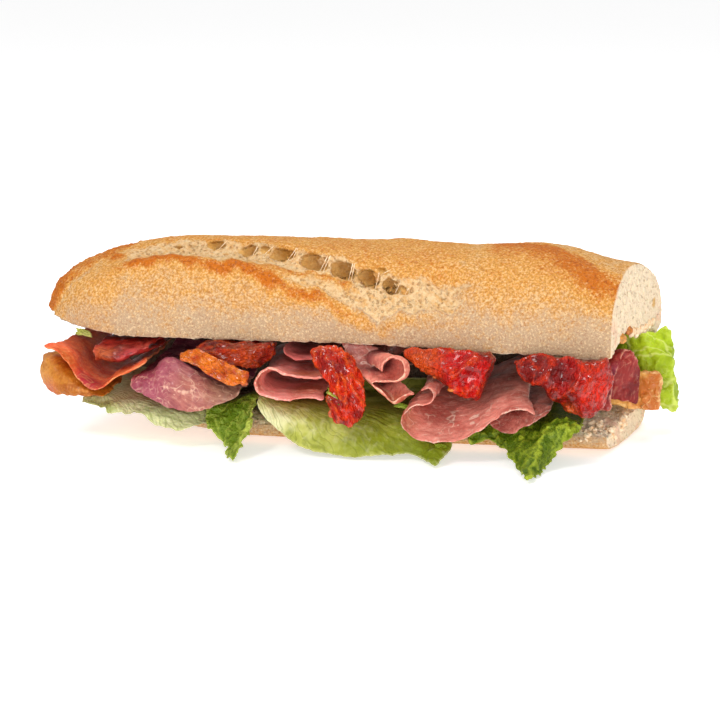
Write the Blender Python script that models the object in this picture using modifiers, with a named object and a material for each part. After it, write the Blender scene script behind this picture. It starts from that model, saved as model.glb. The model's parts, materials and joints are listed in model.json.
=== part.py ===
"""A filled half baguette: two bread halves, lettuce, cured ham and dried tomatoes.

All sizes below are in millimetres. +X runs along the loaf from its round tip to its cut end,
-Y is the open front, +Z is up, and the loaf rests on its flat base at z = 0.
"""

import math

import bmesh
import bpy
from mathutils import Matrix, Vector, noise

MM = 0.001  # metres in a millimetre
SEED = 5  # of the natural unevenness
GAP = 0.6  # clear space between a filling and the bread it touches

# Loaf
TIP_X = -117.0  # round tip
CUT_X = 102.0  # where the cut end crosses the loaf's middle line
CUT_SLANT = 0.24  # the cut end runs this much further in x for each mm to the back
HALF_WIDTH = 33.0
CROWN_Z = 70.0  # top of the crust
TIP_Z = 45.0  # middle of the round tip
EDGE_Z = 38.5  # lower edge of the top half
HOLLOW = 5.0  # how far the top half's crumb is pressed in by the filling
SEAM_Z = 31.5  # height at which the two halves nearly meet at the back
SEAM_GAP = 0.8
SECTION_POWER = 2.6  # 2 is an ellipse, more is boxier
TOP_STATIONS = 33
TOP_ARC = 21
TOP_UNDER = 7

# Base half
BASE_TIP_X = -101.0
BASE_CUT_X = 100.0
BASE_HALF_WIDTH = 31.0
BASE_RIM_Z = 7.5
BASE_CRUMB_Z = 10.5
BASE_FLAT = 15.0  # half width of the flat that it rests on
BASE_TIP_RISE = 13.0
BASE_STATIONS = 22
BASE_ARC = 9

# Fillings
HAM_THICK = 1.3
LEAF_THICK = 0.9
BACK_REACH = 0.45  # how far behind the middle the sheets reach, as a share of what their rows say


def clamp(value, low=0.0, high=1.0):
    return max(low, min(high, value))


def ease(start, end, value):
    t = clamp((value - start) / (end - start))
    return t * t * (3 - 2 * t)


def bump(value, centre, width):
    return math.exp(-(((value - centre) / width) ** 2))


def round_off(distance, length, power):
    """0 at a rounded end, growing to 1 at `length` from it."""
    return (1 - (1 - clamp(distance / length)) ** power) ** (1 / power)


def around_loaf(y, z):
    """Angle around the loaf's middle line: 0 at the open front, 90 on top, 180 at the back."""
    return math.degrees(math.atan2(z - EDGE_Z, -y))


def back_wall(x, y):
    """1 where the bread closes the loaf's back, 0 in the open front and at both ends."""
    return ease(14, 30, y) * ease(-98, -82, x) * (1 - ease(72, 86, x))


# Top half of the loaf


def top_edge(x):
    """Height of the top half's lower edge."""
    tip_lift = 4.8 * (max(0.0, -80 - x) / 35) ** 1.3
    return EDGE_Z + tip_lift - 2.0 * ease(10, 50, x)


def top_crown(x, y):
    """Height of the crust above the middle line."""
    crown = TIP_Z + (CROWN_Z - TIP_Z) * round_off(x - TIP_X, 60, 2.0)
    swell = 0.7 * bump(x, -20, 45) - 1.5 * bump(x, 40, 14)
    cut_drop = ease(68, 100, x) * (4.0 + 4.5 * ease(-20, 25, y))
    return crown + swell - cut_drop


def top_underside(x, y):
    """Crumb face of the top half: a thin front wall, a pressed hollow and a swelling behind it."""
    open_part = ease(-105, -80, x)
    hollow = HOLLOW * bump(y, -13, 9) * open_part
    swelling = 1.5 * bump(y, 10, 7) * open_part * (1 - ease(70, 95, x))
    torn_end = 4.0 * bump(y, 2, 16) * ease(84, 100, x)
    crumb = top_edge(x) + hollow - swelling + torn_end
    return crumb - (crumb - SEAM_Z - SEAM_GAP / 2) * back_wall(x, y)


def lip_angle(x):
    """Where the front lip of the long slash runs."""
    return 52 - 37 * ease(-62, 14, x) ** 1.5


def tear_angle(x):
    """Where the crust tore open behind the slash."""
    return 82 - 0.594 * clamp(x + 54, 0, 70)


def crust_relief(x, angle):
    """How far the crust stands out: the slash's lip, its opened valley and the lobe at the cut end."""
    along = ease(-92, -74, x) * (1 - ease(38, 48, x))
    lip = lip_angle(x)
    tear = tear_angle(x) + 5 * ease(20, 40, x)
    ridge = 2.2 * bump(angle, lip, 7)
    valley = -4.0 * ease(lip, lip + 12, angle) * (1 - ease(tear - 7, tear + 3, angle))
    flap = 0.8 * ease(tear - 5, tear + 3, angle) * (1 - ease(tear + 8, tear + 35, angle))
    tip_groove = -1.4 * bump(angle, 30 + 30 * ease(-110, -84, x), 8) * (1 - ease(-84, -74, x))
    lobe_edge = 50 - 0.42 * max(0.0, angle - 12)
    lobe = 1.4 * ease(lobe_edge - 3, lobe_edge + 3, x) * ease(4, 22, angle) * (1 - ease(95, 125, angle))
    return along * (ridge + valley + flap) + tip_groove + lobe


def top_section(x):
    """The ring of (y, z) points around the top half at one station, from the front edge over the crust."""
    width = HALF_WIDTH * round_off(x - TIP_X, 44, 2.2)
    edge = top_edge(x)
    ring = []
    for i in range(TOP_ARC + 1):
        phi = math.pi * i / TOP_ARC
        across = math.copysign(abs(math.cos(phi)) ** (2 / SECTION_POWER), math.cos(phi))
        y = -width * across
        low = edge - (edge - SEAM_Z - SEAM_GAP / 2) * back_wall(x, HALF_WIDTH) * ease(0, width, y)
        z = low + (top_crown(x, y) - low) * math.sin(phi) ** (2 / SECTION_POWER)
        out = Vector((y, z - edge - 4))
        relief = crust_relief(x, around_loaf(y, z)) * math.sin(phi) ** 0.5
        push = out.normalized() * relief
        ring.append((y + push.x, z + push.y))
    for i in range(1, TOP_UNDER):
        y = width * (1 - 2 * i / TOP_UNDER)
        ring.append((y, top_underside(x, y)))
    return ring


def stations(start, end, count, crowding=1.35):
    """Places along the loaf, closer together at the tip."""
    return [start + (end - start) * (i / count) ** crowding for i in range(count + 1)]


def slanted(x, y, cut_x, reach=70.0):
    """The x of a point once the end is cut on the slant."""
    return x + CUT_SLANT * y * ease(cut_x - reach, cut_x, x)


def loft(name, rings, material):
    """A closed tube through rings of points, made from a capped cylinder."""
    around = len(rings[0])
    bm = bmesh.new()
    bmesh.ops.create_cone(bm, cap_ends=True, segments=around, radius1=1, radius2=1, depth=2)
    walls = [e for e in bm.edges if abs(e.verts[0].co.z - e.verts[1].co.z) > 1]
    bmesh.ops.subdivide_edges(bm, edges=walls, cuts=len(rings) - 2, use_grid_fill=False)
    for vert in bm.verts:
        station = round((vert.co.z + 1) / 2 * (len(rings) - 1))
        step = round(math.atan2(vert.co.y, vert.co.x) / (2 * math.pi) * around) % around
        vert.co = rings[station][step]
    caps = [f for f in bm.faces if len(f.verts) > 4]
    bmesh.ops.poke(bm, faces=caps)
    return add_object(name, bm, material)


def add_object(name, bm, material):
    """An object in the part's collection, from a mesh in millimetres, with its faces outwards."""
    if bm.calc_volume(signed=True) < 0:
        bmesh.ops.reverse_faces(bm, faces=bm.faces)
    bmesh.ops.scale(bm, vec=(MM, MM, MM), verts=bm.verts)
    mesh = bpy.data.meshes.new(name)
    bm.to_mesh(mesh)
    bm.free()
    mesh.shade_smooth()
    mesh.materials.append(material)
    obj = bpy.data.objects.new(name, mesh)
    sandwich.objects.link(obj)
    return obj


def make_crumb_holes():
    """Cutter for the row of bubbles torn open along the slash."""
    row = [(-53, 8, 4), (-40, 8, 5), (-27, 11, 4.5), (-14, 11, 5.5), (-3, 9, 5), (7, 9, 5), (15, 7, 4)]
    bm = bmesh.new()
    for x, length, height in row:
        angle = math.radians(tear_angle(x) - 3)
        out = Vector((0, -math.cos(angle), math.sin(angle)))
        crust_z = EDGE_Z + (top_crown(x, 0) - EDGE_Z) * math.sin(angle)
        turn = Matrix((Vector((1, 0, 0)), out.cross(Vector((1, 0, 0))), out)).transposed()
        size = Matrix.Diagonal((length / 2, height / 2, 4.0)).to_4x4()
        place = Matrix.Translation((x, out.y * (HALF_WIDTH - 1), crust_z)) @ turn.to_4x4() @ size
        bmesh.ops.create_uvsphere(bm, u_segments=8, v_segments=5, radius=1, matrix=place)
    cutter = add_object("crumb_holes", bm, crust)
    sandwich.objects.unlink(cutter)
    cutters.objects.link(cutter)
    cutter.hide_render = True
    cutter.display_type = "WIRE"
    return cutter


def make_top_half():
    rings = []
    for x in stations(TIP_X + 0.8, CUT_X, TOP_STATIONS, 1.2):
        rings.append([(slanted(x, y, CUT_X), y, z) for y, z in top_section(x)])
    top = loft("bread_top", rings, crust)
    holes = top.modifiers.new("holes", "BOOLEAN")
    holes.operation = "DIFFERENCE"
    holes.solver = "EXACT"
    holes.object = make_crumb_holes()


# Base half of the loaf


def base_bottom(x, y):
    """Underside of the base half: flat in the middle, round at the sides, lifting to the tip."""
    tip = clamp((-34 - x) / 67)
    side = clamp((abs(y) - BASE_FLAT) / (BASE_HALF_WIDTH - BASE_FLAT))
    rounding = BASE_RIM_Z * (1 - math.sqrt(1 - side**2 * 0.98)) * (0.9 - 0.4 * tip)
    return BASE_TIP_RISE * tip**1.3 + rounding


def base_top(x, y):
    """Crumb face of the base half."""
    tip_rise = BASE_TIP_RISE * 0.75 * clamp((-34 - x) / 67) ** 1.4
    dish = BASE_RIM_Z + (BASE_CRUMB_Z - BASE_RIM_Z) * (1 - (y / BASE_HALF_WIDTH) ** 2)
    crumb = tip_rise + dish
    return crumb + (SEAM_Z - SEAM_GAP / 2 - crumb) * back_wall(x, y)


def make_base_half():
    rings = []
    for x in stations(BASE_TIP_X + 0.8, BASE_CUT_X, BASE_STATIONS, 1.2):
        width = BASE_HALF_WIDTH * round_off(x - BASE_TIP_X, 34, 2.2)
        scale = width / BASE_HALF_WIDTH
        ring = []
        for i in range(BASE_ARC + 1):
            y = -math.cos(math.pi * i / BASE_ARC) * BASE_HALF_WIDTH
            ring.append((y * scale, base_top(x, y)))
        for i in range(1, BASE_ARC):
            y = math.cos(math.pi * i / BASE_ARC) * BASE_HALF_WIDTH
            ring.append((y * scale, base_bottom(x, y)))
        rings.append([(slanted(x, y, BASE_CUT_X), y, z) for y, z in ring])
    return loft("bread_base", rings, crumb)


# Sheets: ham and leaves


def through(points, share):
    """A smooth line through points, as the place at a share of it from 0 to 1."""
    place = clamp(share) * (len(points) - 1)
    i = min(int(place), len(points) - 2)
    t = place - i
    first, second = points[i], points[i + 1]
    before = points[i - 1] if i else [2 * p - q for p, q in zip(first, second)]
    after = points[i + 2] if i + 2 < len(points) else [2 * q - p for p, q in zip(first, second)]
    spot = []
    for p0, p1, p2, p3 in zip(before, first, second, after):
        slope = (p2 - p0) * t + (2 * p0 - 5 * p1 + 4 * p2 - p3) * t**2 + (3 * p1 - p0 - 3 * p2 + p3) * t**3
        spot.append(p1 + slope / 2)
    return tuple(spot)


def even(points, count=60):
    """The same smooth line with its points at even distances."""
    fine = [through(points, i / 200) for i in range(201)]
    lengths = [0.0]
    for p, q in zip(fine, fine[1:]):
        lengths.append(lengths[-1] + math.dist(p, q))
    line = []
    j = 1
    for i in range(count + 1):
        want = lengths[-1] * i / count
        while j < 200 and lengths[j] < want:
            j += 1
        t = (want - lengths[j - 1]) / (lengths[j] - lengths[j - 1])
        line.append(tuple(p + (q - p) * t for p, q in zip(fine[j - 1], fine[j])))
    return line


def turned(rows):
    """Rows along one way of a sheet as rows along the other way."""
    rows = [even(row) for row in rows]
    return [[row[i] for row in rows] for i in range(0, 61, 5)]


def moved(points, about, wide, high, dx=0.0, dz=0.0):
    """The same line made wider or lower about a point, then shifted."""
    across = [about[0] + (x - about[0]) * wide + dx for x, z in points]
    upward = [about[1] + (z - about[1]) * high + dz for x, z in points]
    return list(zip(across, upward))


def keep_clear(point, thick):
    """A height between the two crumb faces, for a point that is inside the loaf."""
    x, y, z = point
    room = GAP + thick / 2
    if abs(y) < HALF_WIDTH + 1.5 and x < CUT_X + 6:
        z = min(z, top_underside(x, clamp(y, -HALF_WIDTH, HALF_WIDTH)) - room)
    if abs(y) < BASE_HALF_WIDTH + 1.5 and x < BASE_CUT_X + 10:
        z = max(z, base_top(x, clamp(y, -BASE_HALF_WIDTH, BASE_HALF_WIDTH)) + room)
    return max(z, room)


def sheet(name, rows, across, deep, thick, material, wobble, grain, seed, ruffle=0.0, waves=4.0):
    """A thin solid through rows of points, with a slow natural wobble and a ruffled last row."""
    rows = [even(row) for row in rows]
    bm = bmesh.new()
    bmesh.ops.create_grid(bm, x_segments=across, y_segments=deep, size=0.5)
    for vert in bm.verts:
        s, t = vert.co.x + 0.5, vert.co.y + 0.5
        point = Vector(through([through(row, s) for row in rows], t))
        drift = noise.noise_vector(point / grain + Vector((seed, seed * 0.7, 0)))
        point += drift * wobble
        if point.y > 0:
            point.y *= BACK_REACH + (1 - BACK_REACH) * ease(80, 90, point.x)
        edge = t if ruffle > 0 else 0.0
        point.y -= abs(ruffle) * edge**3 * math.sin(2 * math.pi * waves * s + 2 * t)
        point.z = keep_clear(point, thick)
        vert.co = point
    bmesh.ops.triangulate(bm, faces=bm.faces)
    obj = add_object(name, bm, material)
    shell = obj.modifiers.new("thickness", "SOLIDIFY")
    shell.thickness = thick * MM
    shell.offset = 0
    return obj


def fold(name, rows, across=16, deep=7, thick=HAM_THICK, wobble=0.5, grain=14.0, seed=0.0, lean=0.0):
    """A slice that shows its edge at the front. Each row is a depth y and its line in x and z.

    With a lean the upper part of the front edge lies further back than the lower part.
    """
    low = min(z for x, z in rows[0][1])
    rows = [[(x, y + lean * (z - low), z) for x, z in line] for y, line in rows]
    return sheet(name, rows, across, deep, thick, ham, wobble, grain, seed)


def drape(name, rows, across=14, deep=10, thick=HAM_THICK, wobble=0.5, grain=14.0, seed=0.0, slant=0.0):
    """A slice that comes out of the loaf. Each row is a place x and its line in y and z."""
    rows = turned([[(x + slant * y, y, z) for y, z in line] for x, line in rows])
    return sheet(name, rows, across, deep, thick, ham, wobble, grain, seed)


def lettuce(name, rows, across=16, deep=12, ruffle=1.5, waves=4.0, seed=0.0, lean=0.0, wobble=1.0):
    """A leaf that comes out of the loaf, ruffled along its outer edge."""
    rows = turned([[(x + lean * z, y, z) for y, z in line] for x, line in rows])
    return sheet(name, rows, across, deep, LEAF_THICK, leaf, wobble, 10.0, seed, ruffle, waves)


# Lumps: dried tomatoes


def lump(name, outline, y, depth, lean=0.0, wrinkle=0.9, seed=0.0, around=22, rings=9):
    """A leathery half tomato: a pillow with this outline in x and z, seen from the front."""
    count = len(outline)
    middle = Vector([sum(p[i] for p in outline) / count for i in (0, 1)])
    closed = [outline[i % count] for i in range(-2, count + 3)]
    bm = bmesh.new()
    bmesh.ops.create_uvsphere(bm, u_segments=around, v_segments=rings, radius=1)
    for vert in bm.verts:
        unit = vert.co.copy()
        share = (math.atan2(unit.y, unit.x) / (2 * math.pi)) % 1.0
        rim = Vector(through(closed, (share * count + 2) / (count + 4)))
        spread = math.hypot(unit.x, unit.y) ** 0.8
        x, z = middle + (rim - middle) * spread
        point = Vector((x, y - depth * unit.z + lean * (z - middle.y), z))
        crease = noise.noise_vector(point / 8 + Vector((seed, 0, 0)))
        crease += 0.6 * noise.noise_vector(point / 4 + Vector((0, seed, 0)))
        point += crease * wrinkle
        point.z = keep_clear(point, 0)
        vert.co = point
    bmesh.ops.triangulate(bm, faces=bm.faces)
    return add_object(name, bm, tomato)


def add_material(name, colour, roughness):
    material = bpy.data.materials.new(name)
    material.use_nodes = True
    shader = material.node_tree.nodes["Principled BSDF"]
    shader.inputs["Base Color"].default_value = (*colour, 1)
    shader.inputs["Roughness"].default_value = roughness
    shader.inputs["Metallic"].default_value = 0
    return material


def make_leaves():
    lettuce(
        "leaf_left",
        [
            (-97, [(26, 20), (0, 20), (-20, 19.5), (-32, 17), (-37, 14.8)]),
            (-86, [(28, 17), (0, 17), (-25, 17), (-38, 16), (-41, 13)]),
            (-74, [(30, 14), (0, 14), (-30, 15), (-39, 14), (-42, 12)]),
            (-63, [(30, 13), (0, 13), (-30, 14), (-40, 12), (-44, 7.5)]),
            (-45, [(30, 13), (0, 13), (-30, 12.6), (-36, 11), (-37.5, 9)]),
        ],
        across=18,
        deep=8,
        ruffle=1.2,
        seed=1.0,
    )
    lettuce(
        "leaf_frill",
        [
            (-50, [(-30, 16), (-37, 15), (-41, 11), (-43, 8)]),
            (-42, [(-22, 16), (-36, 16), (-42, 10), (-47, 4)]),
            (-35.5, [(-14, 17), (-34, 18), (-42, 12), (-50, 7), (-63, 1.3)]),
            (-31.8, [(-14, 17), (-33, 17.5), (-42, 15), (-47, 9)]),
        ],
        across=14,
        deep=9,
        ruffle=0.5,
        waves=2.5,
        seed=2.0,
    )
    lettuce(
        "leaf_middle",
        [
            (-31, [(-14, 15), (-30, 18), (-37, 19), (-40, 17)]),
            (-26, [(4, 14), (-28, 16), (-37, 17), (-41, 14), (-42, 10)]),
            (-18, [(30, 18), (22, 13), (-28, 16), (-37, 17), (-44, 11), (-43, 4)]),
            (-5, [(30, 18), (22, 12), (-28, 15), (-37, 15), (-45, 9), (-47, 1.2)]),
            (14, [(30, 17), (22, 12), (-28, 14), (-36, 13), (-44, 8), (-48, 1.2)]),
            (28, [(30, 18), (22, 12), (-28, 13), (-36, 12), (-42, 7), (-46, 1.4)]),
            (35, [(30, 17), (22, 12), (-28, 13), (-36, 12), (-43, 7), (-58, 1.3)]),
            (40, [(30, 17), (22, 12), (-28, 13), (-36, 11), (-41, 8), (-44, 4)]),
        ],
        across=20,
        deep=10,
        ruffle=0.6,
        seed=3.0,
        wobble=0.6,
    )
    lettuce(
        "leaf_right",
        [
            (44, [(30, 18), (22, 13), (0, 13), (-32, 12), (-38, 9), (-41, 6)]),
            (54, [(30, 18), (22, 13), (0, 13), (-32, 13), (-40, 10), (-42, 6)]),
            (62, [(30, 18), (22, 13), (0, 13), (-32, 13), (-42, 10), (-51, 3)]),
            (69, [(30, 18), (22, 13), (0, 13), (-32, 13), (-45, 11), (-73, 1.3)]),
            (74, [(30, 17), (22, 13), (0, 14), (-32, 14), (-45, 15), (-54, 2)]),
            (80, [(30, 17), (22, 13), (0, 14), (-31, 13), (-46, 18), (-50, 9)]),
            (85, [(30, 17), (22, 13), (0, 14), (-31, 12), (-44, 14.5), (-47, 14)]),
        ],
        across=20,
        deep=11,
        ruffle=1.6,
        seed=4.0,
    )
    lettuce(
        "leaf_end",
        [
            (91, [(23, 13), (24, 24), (23, 34)]),
            (107, [(11, 21), (13, 30), (14, 39.5)]),
            (112.5, [(8, 9), (11, 25), (14, 40.5)]),
            (118, [(10, 8), (13, 23), (18, 37)]),
            (117, [(25, 10), (26, 21), (28, 31)]),
        ],
        across=14,
        deep=9,
        ruffle=0.7,
        seed=5.0,
        lean=-0.14,
        wobble=1.0,
    )


def make_ham():
    drape(
        "ham_fat_left",
        [
            (-112, [(-20, 28), (-31, 30), (-34, 27), (-35, 23)]),
            (-108, [(-12, 29), (-28, 31), (-36, 30), (-38, 23), (-36, 17.5)]),
            (-102, [(-14, 27), (-26, 28), (-37, 28), (-41, 23), (-39, 17.5)]),
            (-95, [(-20, 21.5), (-29, 21.5), (-37, 22), (-42, 20.5), (-41, 18.5)]),
            (-86, [(-12, 19.5), (-28, 19.2), (-38, 18.7), (-42, 18.4)]),
        ],
        across=12,
        deep=8,
        seed=10.0,
    )
    trough = [(-108, 37), (-101, 34), (-98, 29), (-95, 25), (-91, 21.5), (-87, 21)]
    trough += [(-82, 26), (-77, 28), (-70, 32)]
    fold(
        "ham_v",
        [
            (-45, trough),
            (-37, moved(trough, (-90, 34), 0.93, 0.88)),
            (-24, moved(trough, (-90, 34), 0.9, 0.8, dz=-1.5)),
            (28, moved(trough, (-88, 32), 0.8, 0.9, dz=-2)),
        ],
        across=16,
        deep=6,
        seed=11.0,
    )
    drape(
        "ham_lobe",
        [
            (-91, [(-20, 35.5), (-31, 36), (-38, 35), (-38, 31.5), (-26, 30.5)]),
            (-84, [(28, 35.5), (-28, 36.3), (-38, 37), (-42, 34), (-39, 29.8), (28, 30.5)]),
            (-76, [(28, 35.5), (-28, 36.3), (-38, 37.5), (-42, 35.8), (-39, 33.2), (28, 31.8)]),
            (-70, [(-16, 36.3), (-28, 36.3), (-37, 37.6), (-39, 36.6), (-34, 35), (-20, 33.8)]),
        ],
        across=8,
        deep=12,
        wobble=0.2,
        seed=12.0,
    )
    drape(
        "ham_purple",
        [
            (-77, [(-22, 22), (-35, 25), (-42, 25), (-44, 22)]),
            (-71, [(28, 30), (0, 27), (-24, 24), (-38, 28), (-45, 26), (-46, 20)]),
            (-64, [(28, 29), (0, 26), (-26, 28), (-37, 35), (-45, 31), (-49, 22), (-46, 16.5)]),
            (-54, [(28, 29), (0, 25), (-26, 23), (-37, 29), (-45, 27), (-49, 20), (-46, 14.5)]),
            (-46, [(28, 29), (0, 25), (-26, 20), (-36, 24), (-43, 23), (-46, 16.5)]),
            (-37, [(28, 28), (0, 24), (-26, 20), (-36, 23), (-42, 22), (-44, 19.5)]),
        ],
        across=16,
        deep=10,
        seed=13.0,
    )
    fold(
        "ham_mid_back",
        [
            (-37, [(-22, 37.5), (-22, 35), (-17, 33), (-10, 33)]),
            (0, [(-26, 35), (-21, 32.5), (-14, 31.5), (-6, 33)]),
            (28, [(-34, 35), (-25, 32.5), (-15, 31.5), (-6, 35)]),
        ],
        across=8,
        deep=5,
        wobble=0.2,
        seed=14.0,
    )
    pocket = [(-6, 29), (-13, 28.5), (-19, 29.5), (-25, 31.5), (-29.5, 29), (-30, 24.5)]
    pocket += [(-25, 21.5), (-17, 21), (-11, 22.5), (-5, 21.5)]
    fold(
        "ham_mid_fold",
        [
            (-49, pocket),
            (-45.5, moved(pocket, (-18, 26), 1.0, 0.9)),
            (-36, moved(pocket, (-20, 25), 0.9, 0.7)),
            (28, moved(pocket, (-12.3, 22), 1.32, 0.9, dz=-1.5)),
        ],
        across=20,
        deep=6,
        wobble=0.3,
        seed=15.0,
        lean=0.5,
    )
    roll = [(-3.4, -1), (-3.2, 2.2), (0, 4.4), (3.6, 3.2), (4.6, -0.5), (2.5, -3.6)]
    roll += [(-2, -4.2), (-7, -4.4), (-4.5, -7.2), (-2, -9.2), (0.4, -11.8), (3, -9.5), (6.5, -8)]
    fold(
        "ham_roll",
        [
            (-49, moved(roll, (0, 0), 1.0, 1.0, 18.7, 33.6)),
            (-45, moved(roll, (0, 0), 1.25, 1.1, 19.5, 32.8)),
            (-36, moved(roll, (0, 0), 1.1, 0.75, 12.5, 33)),
            (-10, moved(roll, (0, 0), 1.1, 0.75, 7, 30.5)),
            (28, moved(roll, (0, 0), 1.4, 0.8, 11, 30)),
        ],
        across=26,
        deep=6,
        wobble=0.2,
        seed=16.0,
    )
    curl = [(29, 26.5), (31, 28.5), (33, 27.5), (34, 25), (33, 22), (28, 21)]
    curl += [(24.5, 19.5), (22.5, 16), (23.5, 12), (28, 9), (35, 8), (42, 8.5)]
    curl += [(48, 11.5), (53, 15.5), (58, 19), (63, 21), (68, 20.5), (70, 18.5)]
    fold(
        "ham_big",
        [
            (-51, curl),
            (-44, moved(curl, (40, 27), 0.95, 0.8)),
            (-35, moved(curl, (44, 26), 0.85, 0.5)),
            (-12, moved(curl, (46, 25), 0.8, 0.35, dz=1)),
            (28, moved(curl, (48, 24), 1.05, 0.6, dz=6.5)),
        ],
        across=28,
        deep=6,
        seed=17.0,
    )
    drape(
        "ham_fan",
        [
            (51, [(18, 16), (-24, 15.5), (-36, 15), (-42, 14)]),
            (59, [(18, 17), (-24, 17), (-36, 17), (-43, 14), (-45, 10.5)]),
            (66, [(18, 17), (-24, 18), (-36, 18), (-43, 16), (-45, 13)]),
            (74, [(18, 18), (-24, 19), (-34, 19.5), (-40, 19.5), (-43, 19)]),
        ],
        across=8,
        deep=7,
        wobble=0.2,
        seed=18.0,
    )
    drape(
        "ham_end",
        [
            (92, [(-25, 16), (-26, 24), (-24, 31), (-17, 34), (-10, 28), (-10, 18)]),
            (107, [(-28, 16), (-27, 25), (-23, 33), (-16, 37), (-9, 31), (-7, 22), (-8, 14)]),
        ],
        across=5,
        deep=14,
        slant=0.45,
        wobble=0.3,
        seed=19.0,
    )
    drape(
        "ham_fat_end",
        [
            (90, [(-3, 14), (-1, 20), (3, 21), (6, 14)]),
            (110, [(-3, 12), (-2, 20), (2, 22), (5, 13)]),
        ],
        across=6,
        deep=8,
        wobble=0.3,
        seed=20.0,
    )


def make_tomatoes():
    lump(
        "tomato_orange",
        [(-25, 36), (-28, 39), (-38, 39), (-50, 38), (-54, 35), (-46, 32), (-36, 30), (-29, 31.5)],
        y=-34,
        depth=9.5,
        seed=3.0,
    )
    fold(
        "tomato_flap",
        [
            (-46, [(-57, 36), (-51, 38), (-44, 35), (-38, 32), (-32, 30.5)]),
            (-49.5, [(-57, 34.5), (-51, 33), (-44, 28), (-38, 26), (-32, 27.5)]),
        ],
        across=10,
        deep=3,
        wobble=0.2,
        seed=21.0,
    )
    lump(
        "tomato_centre",
        [(9.5, 25), (6, 33), (-1, 39), (-11, 39), (-9, 34), (-4, 28), (-4, 21), (0, 14), (6, 13), (9, 19)],
        y=-46,
        depth=4.5,
        lean=0.4,
        seed=7.0,
    )
    lump(
        "tomato_mid_right",
        [(54, 33), (52, 38), (36, 39), (22, 39), (26, 35), (33, 29), (41, 24), (48, 22), (52, 26)],
        y=-39.5,
        depth=8,
        seed=11.0,
    )
    lump(
        "tomato_right",
        [(95, 30), (94, 37), (78, 38), (60, 36.5), (66, 29), (74, 23.5), (82, 18), (88, 17), (93, 22)],
        y=-38,
        depth=8,
        seed=15.0,
    )


for old in list(bpy.data.objects):
    bpy.data.objects.remove(old)
noise.seed_set(SEED)
sandwich = bpy.data.collections.new("sandwich")
bpy.context.scene.collection.children.link(sandwich)
cutters = bpy.data.collections.new("cutters")
bpy.context.scene.collection.children.link(cutters)

crust = add_material("crust", (0.72, 0.45, 0.20), 0.8)
crumb = add_material("crumb", (0.80, 0.66, 0.45), 0.9)
leaf = add_material("leaf", (0.35, 0.50, 0.10), 0.45)
ham = add_material("ham", (0.55, 0.20, 0.18), 0.4)
tomato = add_material("tomato", (0.55, 0.05, 0.02), 0.3)

make_top_half()
make_base_half()
make_leaves()
make_ham()
make_tomatoes()
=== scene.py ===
import json
import math
import random

import bpy
import numpy as np
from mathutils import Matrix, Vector, kdtree

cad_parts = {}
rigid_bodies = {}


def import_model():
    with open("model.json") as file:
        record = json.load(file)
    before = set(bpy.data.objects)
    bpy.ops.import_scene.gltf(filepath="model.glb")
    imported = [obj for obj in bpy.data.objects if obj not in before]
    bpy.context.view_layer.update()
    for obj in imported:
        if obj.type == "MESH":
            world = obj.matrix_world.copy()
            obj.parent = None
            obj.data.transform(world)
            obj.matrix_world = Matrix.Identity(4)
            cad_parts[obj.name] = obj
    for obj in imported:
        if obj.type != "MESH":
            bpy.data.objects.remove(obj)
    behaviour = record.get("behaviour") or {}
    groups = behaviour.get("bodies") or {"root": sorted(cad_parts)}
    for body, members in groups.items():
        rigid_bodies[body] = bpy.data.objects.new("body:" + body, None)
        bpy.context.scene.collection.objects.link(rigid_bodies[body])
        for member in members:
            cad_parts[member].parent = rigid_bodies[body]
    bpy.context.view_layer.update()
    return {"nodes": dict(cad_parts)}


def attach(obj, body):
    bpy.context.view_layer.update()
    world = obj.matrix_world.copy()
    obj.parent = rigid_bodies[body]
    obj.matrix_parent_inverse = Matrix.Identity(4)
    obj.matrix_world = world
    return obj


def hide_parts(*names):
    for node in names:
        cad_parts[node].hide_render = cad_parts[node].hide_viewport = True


# Filled half baguette. Sizes are in millimetres unless a line says otherwise.
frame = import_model()
mm = 0.001
print("frame loaded")


def rgb(red, green, blue):
    # a colour as it looks on a screen, each part 0 to 255
    return tuple((part / 255) ** 2.2 for part in (red, green, blue)) + (1.0,)


# Shader building

class Wire:
    def __init__(self, shader, socket):
        self.shader = shader
        self.socket = socket

    def __add__(self, other):
        return self.shader.maths("ADD", self, other)

    def __sub__(self, other):
        return self.shader.maths("SUBTRACT", self, other)

    def __rsub__(self, other):
        return self.shader.maths("SUBTRACT", other, self)

    def __mul__(self, other):
        return self.shader.maths("MULTIPLY", self, other)

    def __truediv__(self, other):
        return self.shader.maths("DIVIDE", self, other)

    __radd__ = __add__
    __rmul__ = __mul__


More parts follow.
